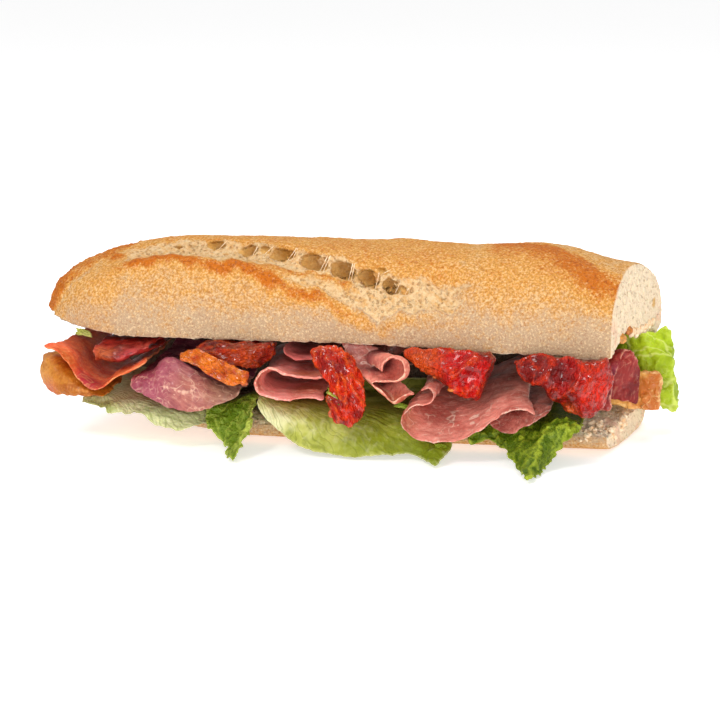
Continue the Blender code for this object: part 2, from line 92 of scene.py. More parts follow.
class Shader:
    def __init__(self, name):
        self.material = bpy.data.materials.new(name)
        self.material.use_nodes = True
        self.tree = self.material.node_tree
        self.tree.nodes.clear()
        coordinates = self.add("TexCoord", out=3)
        self.place = self.add("VectorMath", {"operation": "SCALE"}, {0: coordinates, "Scale": 1 / mm})

    def add(self, kind, settings=None, sockets=None, out=0):
        node = self.tree.nodes.new("ShaderNode" + kind)
        for key, value in (settings or {}).items():
            setattr(node, key, value)
        for key, value in (sockets or {}).items():
            if isinstance(value, Wire):
                self.tree.links.new(value.socket, node.inputs[key])
            else:
                node.inputs[key].default_value = value
        return Wire(self, node.outputs[out]) if node.outputs else None

    def maths(self, operation, first, second=0.0):
        return self.add("Math", {"operation": operation}, {0: first, 1: second})

    def vector(self, operation, first, second):
        return self.add("VectorMath", {"operation": operation}, {0: first, 1: second})

    def mix(self, amount, low, high, mode="MIX"):
        # sockets 6 and 7 and output 2 carry the colours
        settings = {"data_type": "RGBA", "blend_type": mode}
        return self.add("Mix", settings, {0: amount, 6: low, 7: high}, out=2)

    def rise(self, value, low, high):
        # 0 up to low, 1 from high on; the other way round where high is the lower one
        sockets = {"Value": value, "From Min": low, "From Max": high}
        return self.add("MapRange", {"interpolation_type": "SMOOTHSTEP"}, sockets)

    def noise(self, size, detail=3.0, rough=0.55, place=None, out=0):
        sockets = {"Vector": place or self.place, "Scale": 1 / size, "Detail": detail, "Roughness": rough}
        return self.add("TexNoise", {}, sockets, out)

    def cells(self, size, feature="F1", place=None):
        sockets = {"Vector": place or self.place, "Scale": 1 / size}
        return self.add("TexVoronoi", {"feature": feature}, sockets)

    def warped(self, size, amount):
        # the place pushed about, so that straight patterns wander
        away = self.vector("SUBTRACT", self.noise(size, 2.0, out=1), (0.5, 0.5, 0.5))
        return self.vector("ADD", self.place, self.vector("MULTIPLY", away, (amount, amount, amount)))

    def stretched(self, sizes, turn=(0, 0, 0), place=None):
        # a pattern drawn out along the piece, by its size each way
        sockets = {"Vector": place or self.place, "Rotation": [math.radians(t) for t in turn], "Scale": sizes}
        return self.add("Mapping", {"vector_type": "TEXTURE"}, sockets)

    def lines(self, size, width, place):
        # thin wandering lines where a noise crosses its middle
        away = self.maths("ABSOLUTE", self.noise(size, 2.0, place=place) - 0.5)
        return 1 - self.rise(away, 0.0, width)

    def near(self, centre, reach, blur, place=None):
        # 1 round a place, 0 far from it
        away = self.add("VectorMath", {"operation": "DISTANCE"}, {0: place or self.place, 1: centre}, out=1)
        return 1 - self.rise(away, reach - blur, reach + blur)

    def spots(self, colour, look, strength, place):
        # each spot of a look: its centre, reach, blur and tint
        for centre, reach, blur, tint in look.get("spots", ()):
            colour = self.mix(self.near(centre, reach, blur, place) * strength, colour, tint)
        return colour

    def painted(self, name):
        return self.add("Attribute", {"attribute_name": name}, out=2)

    def bump(self, height, depth):
        return self.add("Bump", {}, {"Height": height, "Distance": depth * mm, "Strength": 1.0})

    def finish(self, sockets):
        self.add("OutputMaterial", {}, {"Surface": self.add("BsdfPrincipled", {}, sockets)})
        return self.material


# Mesh tools

def only(piece):
    bpy.ops.object.select_all(action="DESELECT")
    piece.select_set(True)
    bpy.context.view_layer.objects.active = piece


meshing = {
    "weld": 0.002,
    # edges sharper than this, in degrees
    "breadSharp": 45,
    "sheetSharp": 55,
    # number of faces to come near, and how often they are split at most
    "ham": (42000, 3),
    "leaf": (60000, 3),
    "tomato": (50000, 4),
}


def copyNode(node, name):
    # the solid's mesh, welded and in four-sided faces
    piece = bpy.data.objects.new(name, frame["nodes"][node].data.copy())
    bpy.context.scene.collection.objects.link(piece)
    only(piece)
    bpy.ops.mesh.customdata_custom_splitnormals_clear()
    bpy.ops.object.mode_set(mode="EDIT")
    bpy.ops.mesh.select_all(action="SELECT")
    bpy.ops.mesh.remove_doubles(threshold=meshing["weld"] * mm)
    bpy.ops.mesh.tris_convert_to_quads(face_threshold=1.0, shape_threshold=1.2)
    bpy.ops.object.mode_set(mode="OBJECT")
    bpy.ops.object.shade_smooth()
    return piece


def shape(piece, kind, **settings):
    modifier = piece.modifiers.new("step", kind)
    for key, value in settings.items():
        setattr(modifier, key, value)
    only(piece)
    bpy.ops.object.modifier_apply(modifier=modifier.name)


def push(piece, size, depth, group="", direction="NORMAL", kind="CLOUDS", middle=0.5, guide=None, **settings):
    # moves the surface by a noise of one size, which a guide can turn and stretch
    texture = bpy.data.textures.new("push", kind)
    texture.noise_scale = size * mm
    for key, value in settings.items():
        setattr(texture, key, value)
    if direction == "RGB_TO_XYZ":
        texture.cloud_type = "COLOR"
    move = {"texture": texture, "texture_coords": "LOCAL", "direction": direction, "mid_level": middle}
    if guide:
        move.update(texture_coords="OBJECT", texture_coords_object=guide)
    shape(piece, "DISPLACE", **move, strength=depth * mm, vertex_group=group and group + "Push")


def wave(piece, size, depth, group="", detail=2):
    # moves the surface to all sides, as thin sheets and threads wander
    push(piece, size, depth, group, "RGB_TO_XYZ", noise_depth=detail)


def roughen(piece, rounds):
    for size, depth, group, detail in rounds:
        push(piece, size, depth, group, noise_depth=detail)


def points(piece, what="co"):
    values = np.empty(len(piece.data.vertices) * 3, np.float32)
    if what == "co":
        piece.data.vertices.foreach_get("co", values)
        return values.reshape(-1, 3) / mm
    piece.data.vertex_normals.foreach_get("vector", values)
    return values.reshape(-1, 3)


def paint(piece, name, values):
    layer = piece.data.attributes.new(name, "FLOAT", "POINT")
    layer.data.foreach_set("value", values.astype(np.float32))


def weigh(piece, name, values, steps=40):
    # a vertex group, in steps
    group = piece.vertex_groups.new(name=name + "Push")
    levels = np.round(np.clip(values, 0, 1) * steps).astype(int)
    for level in range(1, steps + 1):
        members = np.nonzero(levels == level)[0]
        if len(members):
            group.add(members.tolist(), level / steps, "REPLACE")


def carve(piece, name, values, depth, direction="NORMAL"):
    # sinks the surface by a share of a depth, or raises it where the depth is below 0
    weigh(piece, name, values)
    move = {"direction": direction, "mid_level": 0, "strength": -depth * mm}
    shape(piece, "DISPLACE", **move, vertex_group=name + "Push")


def thin(piece, depth):
    # moves the whole surface in, or out where the depth is below 0
    carve(piece, "all", np.ones(len(piece.data.vertices)), depth)


def hollows(piece, rounds):
    # how deep each point lies under the smoothed surface, below 0 on a ridge
    ends = np.empty(len(piece.data.edges) * 2, np.int32)
    piece.data.edges.foreach_get("vertices", ends)
    ends = ends.reshape(-1, 2)
    here = points(piece)
    count = np.bincount(ends.ravel(), minlength=len(here))[:, None]
    smooth = here.copy()
    for step in range(rounds):
        total = np.zeros_like(smooth)
        for axis in range(3):
            total[:, axis] += np.bincount(ends[:, 0], smooth[ends[:, 1], axis], len(here))
            total[:, axis] += np.bincount(ends[:, 1], smooth[ends[:, 0], axis], len(here))
        smooth = total / np.maximum(count, 1)
    return ((smooth - here) * points(piece, "normal")).sum(axis=1)


def pickSharp(piece, angle):
    # leaves the piece in edit mode with its sharp edges selected
    only(piece)
    bpy.ops.object.mode_set(mode="EDIT")
    bpy.ops.mesh.select_mode(type="EDGE")
    bpy.ops.mesh.select_all(action="DESELECT")
    bpy.ops.mesh.edges_select_sharp(sharpness=math.radians(angle))


def rimPoints(piece):
    # places along the rim of a sheet, about one a millimetre
    pickSharp(piece, meshing["sheetSharp"])
    bpy.ops.object.mode_set(mode="OBJECT")
    found = []
    for edge in piece.data.edges:
        if edge.select:
            start, end = (piece.data.vertices[i].co / mm for i in edge.vertices)
            steps = max(1, int((end - start).length))
            found += [start.lerp(end, i / steps) for i in range(steps + 1)]
    return found


def treeOf(places):
    tree = kdtree.KDTree(len(places))
    for i, place in enumerate(places):
        tree.insert(place, i)
    tree.balance()
    return tree


def cellFloor(places, seeds):
    # 1 in the middle of the cell round each seed, 0 on the walls between cells
    tree = treeOf(seeds)
    floors = np.zeros(len(places))
    for i, place in enumerate(places):
        (_, _, first), (_, _, second) = tree.find_n(place, 2)
        floors[i] = 2 * (second - first) / (second + first)
    return np.clip(floors, 0, 1)


def distanceTo(piece, places):
    tree = treeOf(places)
    return np.array([tree.find(co)[2] for co in points(piece)])


def ease(low, high, value):
    # the same as rise, for numbers
    t = np.clip((value - low) / (high - low), 0, 1)
    return t * t * (3 - 2 * t)


def hump(value, centre, width):
    return np.exp(-((value - centre) / width) ** 2)


def makeFine(piece, kind):
    # splits the faces in four, as often as brings them near the number wanted
    goal, most = meshing[kind]
    levels = max(1, min(most, round(math.log(goal / (len(piece.data.polygons) * 2), 4))))
    shape(piece, "SUBSURF", levels=levels, render_levels=levels)


def keep(piece, node, material):
    # the finished piece, with its look and its place in the frame
    piece.data.materials.clear()
    piece.data.materials.append(material)
    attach(piece, "root")
    if node:
        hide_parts(node)


# Bread

bread = {
    "voxel": 0.65,
    "edgeHeight": 38.5,
    "pale": rgb(188, 158, 126),
    "golden": rgb(214, 154, 76),
    "brown": rgb(194, 104, 14),
    "flour": rgb(240, 213, 168),
    "crumb": rgb(230, 196, 148),
    # a darker crumb tone, also multiplied into the hollows of the crust as painted shade
    "crumbToneAndPaintedShade": rgb(208, 160, 104),
    "cutPale": rgb(248, 224, 190),
    "toasted": rgb(146, 70, 14),
    "holeShade": rgb(214, 162, 88),
    # the painted shadow under the roof of each torn bubble
    "bubbleRoofShadow": rgb(142, 92, 30),
    "grainShade": rgb(168, 110, 52),
    "poreShade": rgb(190, 138, 84),
    "stain": rgb(236, 172, 138),
    # painted shadow colour for the crumb deep inside, between the fillings
    "gapShadowColour": rgb(58, 26, 16),
    # lines along the crust: place along the loaf, then the angle up from its front edge
    "lip": ((-86, 50), (-64, 52), (-43, 46), (-24, 36), (-9, 26), (5, 16), (12, 12), (24, 15), (40, 20),
            (47, 26)),
    "tear": ((-92, 80), (-67, 86), (-48, 82), (-28, 68), (-8, 57), (7, 48), (20, 41), (47, 40)),
    "innerRidge": ((-36, 49), (-14, 45), (-1, 38), (6, 32)),
    "tipGroove": ((-114, 15), (-109, 29), (-105, 41), (-99, 50), (-95, 60), (-91, 67), (-86, 78)),
    "lobeRidge": ((50, 105), (69, 93), (77, 78), (85, 62), (91, 53), (100, 48)),
    # bubbles torn open behind the slash: place, angle, length, height
    "bubbles": ((-67, 79, 4, 2), (-53, 80, 7, 3.5), (-40, 72, 8, 5), (-33, 69, 4, 3), (-26, 64, 10, 4.5),
                (-14, 56, 11, 5.5), (-3, 49, 9, 5.5), (7, 43, 8, 5), (15, 38, 6, 4), (20, 36, 2.5, 2),
                (12, 47, 3, 2)),
    "bubbleLean": 0.55,  # degrees up for each millimetre along
    "degreeWidth": 0.52,  # of crust
    # where each part of the crust begins or ends along the loaf, from nothing to full
    "slashStart": (-92, -76),
    "slashEnd": (37, 46),
    "lipEnd": (12, 40),
    "tipEnd": (-88, -82),
    "lobeStart": (44, 52),
    "topPlaneStart": (64, 76),
    "cutStart": (80, 90),
    "cutHole": (107, 20, 47),
    "cutClean": (100, 0, 52),  # middle of the unstained crumb
    # how deep each part is cut in, or raised where below 0
    "bubbleRefill": -2.2,  # the bubbles in the solid are deeper
    "ridgeDepth": -1.3,
    "grooveDepth": 1.2,
    "bubbleDepth": 1.5,
    "poreDepth": 0.75,
    "droop": 1.1,
    # roughness: size, depth, where and detail
    "rough": ((2.6, 1.3, "crumb", 3), (12, 0.8, "", 2), (4.5, 1.8, "rough", 2), (1.7, 1.6, "rough", 2)),
    "cutRagged": (3.0, 11),
    "poreCount": 420,
}


baked = {
    "least": 0.06,
    # how much more each part browns, or less where below 0
    "parts": {"side": 0.26, "top": 0.1, "tip": 0.12, "tipPoint": 0.3, "tipRim": 0.3, "tipFlap": 0.7,
              "groove": -0.2, "lipTop": 0.68, "inner": 0.45, "valley": -0.28, "behind": 0.16,
              "lobe": 0.1, "lobeRidge": 0.4, "topPlane": -0.04},
    # the back is plainer
    "backFrom": 10,
    "backShare": 0.6,
    "backTop": 0.22,
}


def solidBread(node, name):
    # the creases keep the cut edges crisp when the mesh is made fine
    piece = copyNode(node, name)
    pickSharp(piece, meshing["breadSharp"])
    bpy.ops.transform.edge_crease(value=0.8)
    bpy.ops.object.mode_set(mode="OBJECT")
    shape(piece, "SUBSURF", levels=2, render_levels=2)
    shape(piece, "REMESH", mode="VOXEL", voxel_size=bread["voxel"] * mm, use_smooth_shade=True)
    shape(piece, "SMOOTH", factor=0.5, iterations=3)
    return piece


def crustLine(name, x):
    along, angles = zip(*bread[name])
    return np.interp(x, along, angles)


def crustMarks(place):
    # what the baking and the slash did at each point, each from 0 to 1 but for the true angle
    x, y, z = place.T
    angle = np.degrees(np.arctan2(z - bread["edgeHeight"], -y))
    marks = {"trueAngle": angle}
    angle = angle + 1.8 * np.sin(x / 4.7) + 1.3 * np.sin(x / 2.1 + angle / 9) + np.sin(x / 1.1 + angle / 4)
    lip, tear = crustLine("lip", x), crustLine("tear", x)
    inner = hump(angle, crustLine("innerRidge", x), 4.5) * ease(-40, -30, x) * (1 - ease(-2, 8, x))
    ragged = x + 3 * np.sin(angle / 4) + 1.5 * np.sin(angle / 1.7)
    along = ease(*bread["slashStart"], x) * (1 - ease(*bread["slashEnd"], ragged))
    marks["inner"] = inner
    opened = ease(lip + 3, lip + 9, angle) * (1 - ease(tear - 3, tear + 2, angle))
    marks["valley"] = along * opened * (1 - 0.7 * inner)
    patchy = 0.84 + 0.12 * np.sin(x / 6.3 + 1) + 0.1 * np.sin(x / 2.7)
    lipAlong = ease(*bread["slashStart"], x) * (1 - ease(*bread["lipEnd"], x))
    marks["lip"] = lipAlong * hump(angle, lip - 0.5, 4.5) * patchy
    marks["lipTop"] = marks["lip"] * (1 - 0.5 * ease(-14, 10, x))
    marks["behind"] = along * ease(tear - 1, tear + 4, angle)
    groove = crustLine("tipGroove", x)
    onTip = 1 - ease(*bread["tipEnd"], x)
    marks["tip"] = onTip
    marks["tipPoint"] = ease(-108, -116, x)
    marks["groove"] = onTip * hump(angle, groove, 4) * (0.7 + 0.3 * np.sin(x * 1.3 + z * 0.7))
    marks["tipRim"] = onTip * ease(groove, groove + 8, angle) + 0.8 * ease(-104, -114, x) * ease(40, 44, z)
    marks["tipFlap"] = hump(x, -89, 3) * hump(angle, 66, 6)
    ridge = crustLine("lobeRidge", x)
    onLobe = ease(18, 42, angle) * (1 - ease(ridge - 2, ridge + 8, angle))
    marks["lobe"] = ease(*bread["lobeStart"], x) * onLobe
    marks["lobeRidge"] = marks["lobe"] * hump(angle, ridge - 14, 20)
    marks["topPlane"] = ease(*bread["topPlaneStart"], x) * ease(ridge, ridge + 10, angle)
    marks["side"], marks["top"] = ease(42, 58, z), ease(58, 68, z)
    bake = baked["least"] + sum(share * marks[part] for part, share in baked["parts"].items())
    even = bake * baked["backShare"] + baked["backTop"] * ease(40, 60, z)
    marks["bake"] = np.clip(np.where(y > baked["backFrom"], even, bake), 0, 1)
    return marks


def bubbleDepths(x, angle, cells):
    # how deep each point lies in a torn bubble, and how near to its shaded upper side
    deep, roof = np.zeros(len(x)), np.zeros(len(x))
    for centre, turn, length, height in bread["bubbles"]:
        across = (angle - turn + bread["bubbleLean"] * (x - centre)) * bread["degreeWidth"]
        away = np.hypot((x - centre) / (length / 2 + 0.5), across / (height / 2 + 0.3)) + 0.2 * (0.5 - cells)
        here = 1 - ease(0.65, 1.1, away)
        roof = np.where(here > deep, across / height + 0.5, roof)
        deep = np.maximum(deep, here)
    return deep * (0.65 + 0.35 * ease(0.04, 0.16, cells)), roof


def bakedSkin(s, bake, tone):
    # pale where it is little baked, then golden, brown and toasted, with grains and flour on it
    colour = s.mix(s.rise(tone, 0.02, 0.5), bread["pale"], bread["golden"])
    browned = s.rise(tone + (s.noise(1.3, 3.0, 0.6) - 0.5) * 0.9, 0.46, 0.95)
    colour = s.mix(browned, colour, bread["brown"])
    toasted = browned * s.rise(s.noise(1.1, 3.0, 0.6), 0.48, 0.66)
    colour = s.mix(toasted * 0.7, colour, bread["toasted"])
    specks = s.rise(s.noise(0.7, 2.0, 0.6), 0.5, 0.7)
    colour = s.mix(specks * 0.4, colour, bread["brown"], "MULTIPLY")
    flour = s.rise(s.noise(0.8, 2.0, 0.7), 0.5, 0.66)
    colour = s.mix(flour * (0.6 - bake * 0.7), colour, bread["flour"])
    grains = s.noise(0.85, 2.0, 0.6)
    golden = s.rise(tone, 0.04, 0.34) * (1 - browned * 0.8)
    colour = s.mix(s.rise(grains, 0.5, 0.62) * golden * 0.62, colour, bread["grainShade"])
    return s.mix(s.rise(grains, 0.47, 0.34) * golden * 0.38, colour, bread["flour"])


def openedCrumb(s, web):
    # cream and porous, with golden streaks
    mottled = s.rise(s.noise(1.2, 3.0, 0.65), 0.42, 0.62)
    inside = s.mix(mottled * 0.7, bread["crumb"], bread["crumbToneAndPaintedShade"])
    streaks = s.rise(s.noise(1.0, 3.0, place=s.stretched((7, 2, 2), (0, 40, 0))), 0.5, 0.64)
    inside = s.mix(streaks * 0.6, inside, bread["golden"])
    return s.mix(web * s.rise(s.noise(7, 2.0), 0.36, 0.54) * 0.8, inside, bread["poreShade"])


def cutCrumb(s, pores):
    # paler, with fine pores, one larger hole and the stains of the filling
    mottled = s.rise(s.noise(0.9, 3.0, 0.7), 0.46, 0.7)
    cut = s.mix(mottled * 0.3 + pores * 0.35, bread["cutPale"], bread["crumbToneAndPaintedShade"])
    hole = s.near(bread["cutHole"], 1.8, 0.8, s.warped(2, 1))
    cut = s.mix(hole * 0.85, cut, bread["holeShade"])
    clean = s.near(bread["cutClean"], 26, 6)
    stains = s.rise(s.noise(7, 3.0), 0.5, 0.66) * (1 - s.rise(clean, 0, 1))
    return s.mix(stains * 0.5, cut, bread["stain"])


def bubbleWall(s):
    # painted shade, darker under the roof of each bubble
    shade = s.rise(s.painted("roof") + (s.noise(3, 2.0) - 0.5) * 0.5, 0.3, 0.95)
    return s.mix(shade, bread["holeShade"], bread["bubbleRoofShadow"])


def crustMaterial():
    s = Shader("bakedCrust")
    bake, valley, crumb = s.painted("bake"), s.painted("valley"), s.painted("crumb")
    pit, bubble = s.painted("pit"), s.painted("bubble")
    patches = s.noise(15, 3.0) - 0.5
    tone = bake + patches * 0.36 + (s.noise(3.4, 4.0, 0.65) - 0.5) * 0.5 + (s.noise(0.9, 2.0) - 0.5) * 0.5
    web = 1 - s.rise(s.cells(1.5, place=s.warped(3, 2)), 0.16, 0.42)
    pores = 1 - s.rise(s.cells(1.5, place=s.warped(2, 1)), 0.12, 0.34)
    colour = bakedSkin(s, bake, tone)
    opened = s.rise(valley + (s.noise(4, 3.0) - 0.5) * 0.7, 0.3, 0.7)
    colour = s.mix(opened * (0.85 - s.rise(tone, 0.3, 0.6) * 0.6), colour, openedCrumb(s, web))
    # painted shadow on the crumb deep inside, between the halves where the fillings are
    cut = s.mix(s.painted("gapShadow"), cutCrumb(s, pores), bread["gapShadowColour"])
    colour = s.mix(crumb, colour, cut)
    # painted shade in the hollows of the crust, less where the slash is open
    paintedHollowShade = s.rise(pit, 0.4, 1.6) * (0.5 - opened * 0.4)
    colour = s.mix(paintedHollowShade, colour, bread["crumbToneAndPaintedShade"], "MULTIPLY")
    colour = s.mix(s.rise(bubble, 0.15, 0.7) * 0.85, colour, bubbleWall(s))
    height = s.noise(0.9, 3.0, 0.65) * 0.7 + s.noise(3.6, 3.0) * 0.5
    height = height - web * valley * (1 - bubble) * 0.7 - pores * crumb * 0.8
    return s.finish({
        "Base Color": colour,
        "Roughness": 0.92 - s.rise(tone, 0.5, 1.0) * 0.25,
        "Normal": s.bump(height, 0.9),
        "Specular IOR Level": 0.2,
        "Subsurface Weight": 0.15,
        "Subsurface Radius": (1.0, 0.6, 0.35),
        "Subsurface Scale": 2.0 * mm,
    })


def cutFace(place, normal):
    # 1 on the cut end of the loaf
    return ease(0.72, 0.9, normal[:, 0]) * ease(*bread["cutStart"], place[:, 0])


def poreCells(place, where, count):
    # a floor between walls for each of the pores, spread at random over some points
    seeds = random.sample(where.tolist(), count)
    cells = np.zeros(len(place))
    cells[where] = cellFloor(place[where], place[seeds])
    return cells


def dressBreadTop():
    piece = solidBread("bread_top", "loaf_top")
    place, normal = points(piece), points(piece, "normal")
    x, y, z = place.T
    marks = crustMarks(place)
    angle = marks["trueAngle"]
    under = ease(0.35, 0.75, -normal[:, 2]) * (1 - ease(47, 52, z))
    crumb = np.maximum(under, cutFace(place, normal))
    pit = np.clip(hollows(piece, 50), 0, 3) * (1 - ease(84, 90, x)) * (1 - crumb)
    byTear = hump(angle, crustLine("tear", x) - 2, 8) * ease(-72, -60, x) * (1 - ease(14, 24, x))
    where = np.nonzero(marks["valley"] + byTear > 0.25)[0]
    cells = poreCells(place, where, bread["poreCount"])
    bubble, roof = np.zeros(len(x)), np.zeros(len(x))
    bubble[where], roof[where] = bubbleDepths(x[where], angle[where], cells[where])
    ridges = 0.5 * marks["lip"] + 0.7 * marks["inner"] + 0.6 * marks["tipFlap"]
    carve(piece, "refill", pit / 3 * ease(50, 56, z), bread["bubbleRefill"])
    carve(piece, "ridges", ridges, bread["ridgeDepth"])
    crack = hump(x, 14, 1.2) * hump(z, 44, 3)
    carve(piece, "groove", np.maximum(marks["groove"] * 0.6, crack), bread["grooveDepth"])
    carve(piece, "bubble", bubble, bread["bubbleDepth"])
    carve(piece, "pores", marks["valley"] * cells * (1 - bubble), bread["poreDepth"])
    weigh(piece, "crumb", crumb)
    acrossCut = ease(92, 97, x - 0.24 * y) * ease(-24, -8, y) * (1 - ease(24, 30, y))
    weigh(piece, "cutEdge", hump(z, 36, 4) * acrossCut)
    frontCorner = hump(x, 87, 8) * hump(z, 36.5, 3) * (1 - ease(-30, -24, y))
    carve(piece, "droop", frontCorner, bread["droop"], "Z")
    weigh(piece, "rough", np.clip(0.3 + marks["tipRim"] + marks["valley"] * 0.2, 0, 1) * (1 - crumb))
    roughen(piece, bread["rough"])
    push(piece, *bread["cutRagged"], "cutEdge", direction="Z", middle=0.75, noise_depth=3)
    # painted shadow on the underside crumb further in, between the fillings
    gapShadow = under * ease(-31, -24, y) * (1 - ease(90, 96, x)) * 0.9
    valley = np.clip(marks["valley"] + 0.4 * marks["groove"], 0, 1)
    painted = {"bake": marks["bake"], "valley": valley, "crumb": crumb, "gapShadow": gapShadow,
               "bubble": bubble, "roof": roof, "pit": pit}
    for name, values in painted.items():
        paint(piece, name, values)
    keep(piece, "bread_top", crust)
    return piece


base = {
    "crumbFrom": 5.5,  # height of the crust's upper edge
    "poreDepth": 1.3,
    "poreCount": 500,
    # roughness: size, depth, where and detail
    "rough": ((4.5, 1.7, "crumb", 4), (9, 0.7, "skin", 2), (1.6, 0.45, "skin", 2)),
}


def dressBreadBase():
    piece = solidBread("bread_base", "loaf_base")
    place, normal = points(piece), points(piece, "normal")
    x, y, z = place.T
    above = ease(base["crumbFrom"], base["crumbFrom"] + 1.5, z)
    backWall = (1 - ease(26, 29, y)) * above * ease(0.3, 0.7, -normal[:, 1]) * ease(0, 8, y)
    top = np.maximum(ease(0.3, 0.7, normal[:, 2]) * above, backWall)
    cells = poreCells(place, np.nonzero((top > 0.3) & (y < 5))[0], base["poreCount"])
    carve(piece, "pores", top * cells * ease(0, 2, z - base["crumbFrom"]), base["poreDepth"])
    weigh(piece, "crumb", top * ease(0, 3, z - base["crumbFrom"]))
    weigh(piece, "skin", ease(0.5, 2.5, z))
    roughen(piece, base["rough"])
    bake = 0.12 + 0.25 * (1 - ease(0, 7, z)) + 0.1 * ease(-60, -100, x) + 0.2 * ease(20, 32, y)
    # painted shadow on the crumb further in, under the fillings
    gapShadow = top * ease(-22, -10, y) * (1 - ease(56, 76, x)) * 0.85
    nothing = np.zeros(len(x))
    painted = {"bake": bake, "valley": nothing, "bubble": nothing, "pit": nothing, "gapShadow": gapShadow,
               "crumb": np.maximum(top, cutFace(place, normal))}
    for name, values in painted.items():
        paint(piece, name, values)
    keep(piece, "bread_base", crust)
    return piece


random.seed(7)
crust = crustMaterial()
loafTop = dressBreadTop()
loafBase = dressBreadBase()
print("bread dressed")


# Sheets: ham and lettuce

def sheetPiece(node, name, kind):
    # the sheet made fine, with its distance from the rim painted on
    piece = copyNode(node, name)
    rim = rimPoints(piece)
    makeFine(piece, kind)
    away = distanceTo(piece, rim)
    paint(piece, "rim", away)
    return piece, away


hamShape = {"thin": 0.2, "fine": (2.6, 0.45), "rimWave": (4.5, 1.3), "rimWidth": 5}

# for each slice its colours, width of its pale rim, strength of its veins, its grain, its waves by size
# and depth, and its coloured spots
hamPieces = [
    {"node": "ham_fat_left", "lean": rgb(186, 118, 34), "deep": rgb(146, 72, 14), "fat": rgb(216, 146, 76),
     "rim": 0.9, "marble": 0.2, "grain": (14, 2, 2), "turn": (0, 0, 80), "waves": (7, 1.8),
     "spots": [((-108, -36, 20), 5, 3, rgb(178, 76, 52)), ((-112, -36, 26), 5, 4, rgb(196, 134, 66))]},
    {"node": "ham_v", "lean": rgb(232, 106, 70), "deep": rgb(196, 62, 36), "fat": rgb(240, 172, 112),
     "rim": 0.9, "marble": 0.3, "grain": (16, 2, 2), "turn": (0, 0, 60), "waves": (8, 1.4),
     "gloss": 0.04,
     "spots": [((-92, -42, 24), 5, 4, rgb(158, 46, 66)), ((-100, -42, 32), 4, 3, rgb(190, 96, 44)),
               ((-78, -42, 22), 5, 4, rgb(206, 120, 50))]},
    {"node": "ham_lobe", "lean": rgb(158, 42, 32), "deep": rgb(88, 12, 8), "fat": rgb(204, 96, 74),
     "rim": 0.5, "marble": 0.3, "grain": (10, 1.4, 1.4), "turn": (0, 0, 10), "waves": (5, 2.4),
     "streak": 0.9, "gloss": 0.5,
     "spots": [((-76, -42, 32), 5, 4, rgb(180, 62, 66)), ((-88, -40, 34), 4, 3, rgb(186, 92, 46))]},
    {"node": "ham_purple", "lean": rgb(156, 76, 90), "deep": rgb(116, 44, 60), "fat": rgb(232, 186, 160),
     "rim": 1.0, "marble": 0.55, "grain": (12, 3, 3), "turn": (0, 30, 20), "waves": (9, 1.3),
     "spots": [((-50, -46, 22), 11, 8, rgb(174, 110, 92)), ((-40, -40, 22), 8, 5, rgb(152, 114, 90))]},
    {"node": "ham_mid_back", "lean": rgb(242, 130, 122), "deep": rgb(200, 90, 88), "fat": rgb(230, 176, 156),
     "rim": 0.8, "marble": 0.3, "grain": (14, 2, 2), "waves": (8, 1.2)},
    {"node": "ham_mid_fold", "lean": rgb(240, 146, 136), "deep": rgb(196, 100, 84), "fat": rgb(246, 200, 172),
     "rim": 0.5, "marble": 0.2, "grain": (12, 2, 2), "waves": (7, 1.1),
     "spots": [((-12, -38, 25), 8, 5, rgb(170, 84, 52))]},
    {"node": "ham_roll", "lean": rgb(236, 138, 120), "deep": rgb(176, 82, 74), "fat": rgb(246, 200, 166),
     "rim": 0.9, "marble": 0.25, "grain": (2, 16, 2), "waves": (7, 0.9),
     "spots": [((12, -28, 34), 9, 6, rgb(124, 64, 70)), ((24, -46, 33), 6, 4, rgb(206, 122, 104)),
               ((19, -46, 23), 4, 3, rgb(186, 98, 60))]},
    {"node": "ham_big", "lean": rgb(222, 134, 118), "deep": rgb(176, 82, 70), "fat": rgb(246, 212, 188),
     "rim": 0.9, "marble": 0.6, "grain": (16, 3, 3), "turn": (0, -20, 0), "waves": (10, 1.2),
     "spots": [((22, -46, 15), 5, 4, rgb(196, 122, 92)), ((34, -46, 12), 5, 4, rgb(204, 126, 110)),
               ((36, -38, 20), 6, 5, rgb(140, 54, 46))]},
    {"node": "ham_fan", "lean": rgb(196, 114, 100), "deep": rgb(144, 68, 60), "fat": rgb(244, 210, 190),
     "rim": 0.9, "marble": 0.6, "grain": (2, 10, 2), "turn": (0, 0, -25), "waves": (6, 1.2)},
    {"node": "ham_end", "lean": rgb(152, 46, 42), "deep": rgb(98, 18, 20), "fat": rgb(220, 152, 124),
     "rim": 0.8, "marble": 0.35, "grain": (2, 2, 14), "turn": (0, 10, 0), "waves": (6, 2.2),
     # the near-black spot is a painted shadow in the gap between the slice's folds
     "spots": [((97, -24, 26), 5, 4, rgb(150, 66, 88)), ((101, -23, 30), 2.5, 2, rgb(60, 14, 12)),
               ((107, -18, 24), 5, 4, rgb(176, 72, 56))]},
    {"node": "ham_fat_end", "lean": rgb(240, 176, 92), "deep": rgb(190, 104, 40), "fat": rgb(248, 206, 136),
     "rim": 0.9, "marble": 0.6, "grain": (3, 3, 8), "waves": (4, 3.4),
     "lift": 2.0, "grow": 0.9,
     "spots": [((109, -14, 22), 2.5, 2, rgb(132, 84, 34)), ((112, -10, 16), 2.5, 2, rgb(176, 128, 92))]},
]


